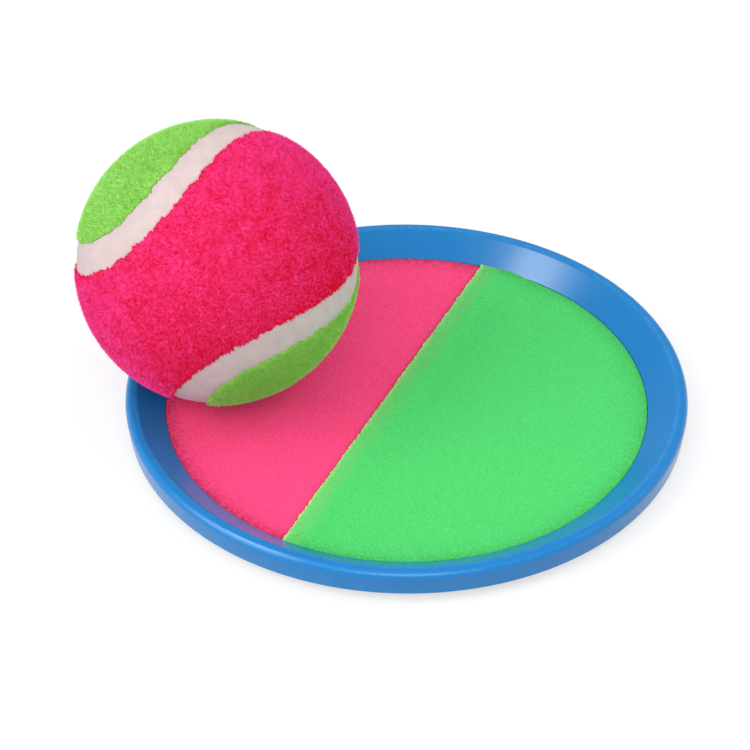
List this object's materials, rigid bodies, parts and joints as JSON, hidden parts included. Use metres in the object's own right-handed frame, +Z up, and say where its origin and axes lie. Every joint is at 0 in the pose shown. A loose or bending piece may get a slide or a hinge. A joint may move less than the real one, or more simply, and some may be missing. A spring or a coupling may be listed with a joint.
{
  "type": "catch paddle set",
  "caption": "Round dished hand paddle faced with pink and green loop cloth, with a hand strap on its back and a plush seamed ball lying on its face.",
  "frame": {"origin": "middle of the whole set in plan, at the height of the foot ring's flat face, which stands on the table", "axes": "+Z up, out of the paddle's cloth face; +X along the set's longest side, from the ball towards the free side of the paddle; the picture looks along +Y from above"},
  "size_m": [0.1951, 0.18, 0.096],
  "materials": {
    "blue_plastic": "satin moulded plastic",
    "pink_cloth": "short looped knit",
    "green_cloth": "short looped knit",
    "hook_tape": "woven tape with hooks",
    "loop_tape": "woven tape with loops",
    "rivet_steel": "plated",
    "core_foam": "plain",
    "pink_pile": "brushed pile",
    "green_pile": "brushed pile",
    "white_felt": "flat felt"
  },
  "bodies": {
    "root": {"paddle_dish": "blue_plastic", "face_cloth_pink": "pink_cloth", "face_cloth_green": "green_cloth", "strap_hook_half": "hook_tape", "strap_loop_half": "loop_tape", "strap_rivet_left": "rivet_steel", "strap_rivet_right": "rivet_steel", "ball_core": "core_foam", "ball_pile_pink": "pink_pile", "ball_pile_green": "green_pile", "ball_seam_strip": "white_felt"}
  },
  "joints": []
}
